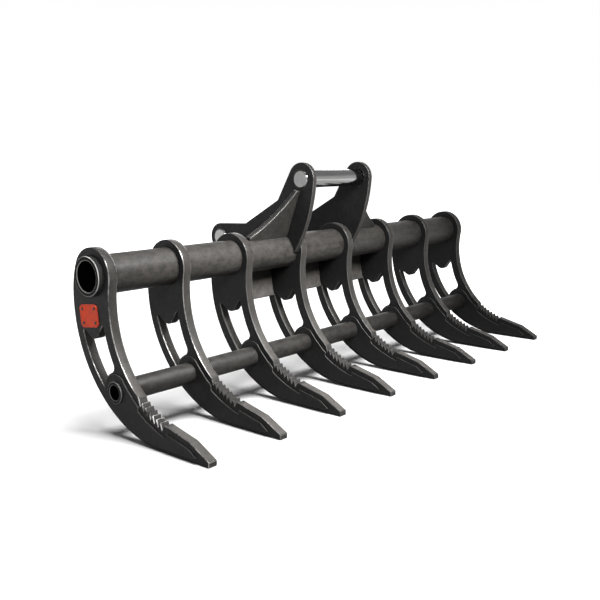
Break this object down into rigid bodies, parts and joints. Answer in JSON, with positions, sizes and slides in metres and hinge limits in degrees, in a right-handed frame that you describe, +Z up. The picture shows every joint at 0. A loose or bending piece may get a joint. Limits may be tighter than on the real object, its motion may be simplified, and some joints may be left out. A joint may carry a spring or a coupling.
{
  "type": "excavator root rake",
  "caption": "Excavator root rake: curved serrated plate tines on two cross tubes, with raised cheek plates and a pair of hitch ears with removable pins.",
  "frame": {"origin": "on the ground under the middle of the rake's overall box, with the flat undersides of the tine tips on the ground", "axes": "+X along the two cross tubes towards the eighth tine, -Y the way the tine tips point, +Z up"},
  "size_m": [1.953, 0.8169, 0.7529],
  "materials": {
    "tine_paint": "satin",
    "cheek_paint": "satin",
    "tube_paint": "satin",
    "hitch_paint": "satin",
    "pin_chrome": "gloss"
  },
  "bodies": {
    "weldment": {"tine_1": "tine_paint", "tine_2": "tine_paint", "tine_3": "tine_paint", "tine_4": "tine_paint", "tine_5": "tine_paint", "tine_6": "tine_paint", "tine_7": "tine_paint", "tine_8": "tine_paint", "cheek_left_1": "cheek_paint", "cheek_left_2": "cheek_paint", "cheek_left_3": "cheek_paint", "cheek_left_4": "cheek_paint", "cheek_left_5": "cheek_paint", "cheek_left_6": "cheek_paint", "cheek_left_7": "cheek_paint", "cheek_left_8": "cheek_paint", "cheek_right_1": "cheek_paint", "cheek_right_2": "cheek_paint", "cheek_right_3": "cheek_paint", "cheek_right_4": "cheek_paint", "cheek_right_5": "cheek_paint", "cheek_right_6": "cheek_paint", "cheek_right_7": "cheek_paint", "cheek_right_8": "cheek_paint", "main_tube": "tube_paint", "lower_tube": "tube_paint", "ear_left": "hitch_paint", "ear_right": "hitch_paint", "gusset_left": "hitch_paint", "gusset_right": "hitch_paint", "back_plate_1": "hitch_paint", "back_plate_2": "hitch_paint", "back_plate_3": "hitch_paint"},
    "stick_pin_body": {"stick_pin": "pin_chrome"},
    "link_pin_body": {"link_pin": "pin_chrome"}
  },
  "joints": [
    {"name": "stick_pin_slide", "type": "slide", "parent": "weldment", "child": "stick_pin_body", "axis": [-1, 0, 0], "range_m": [0, 0.322]},
    {"name": "link_pin_slide", "type": "slide", "parent": "weldment", "child": "link_pin_body", "axis": [-1, 0, 0], "range_m": [0, 0.322]}
  ]
}
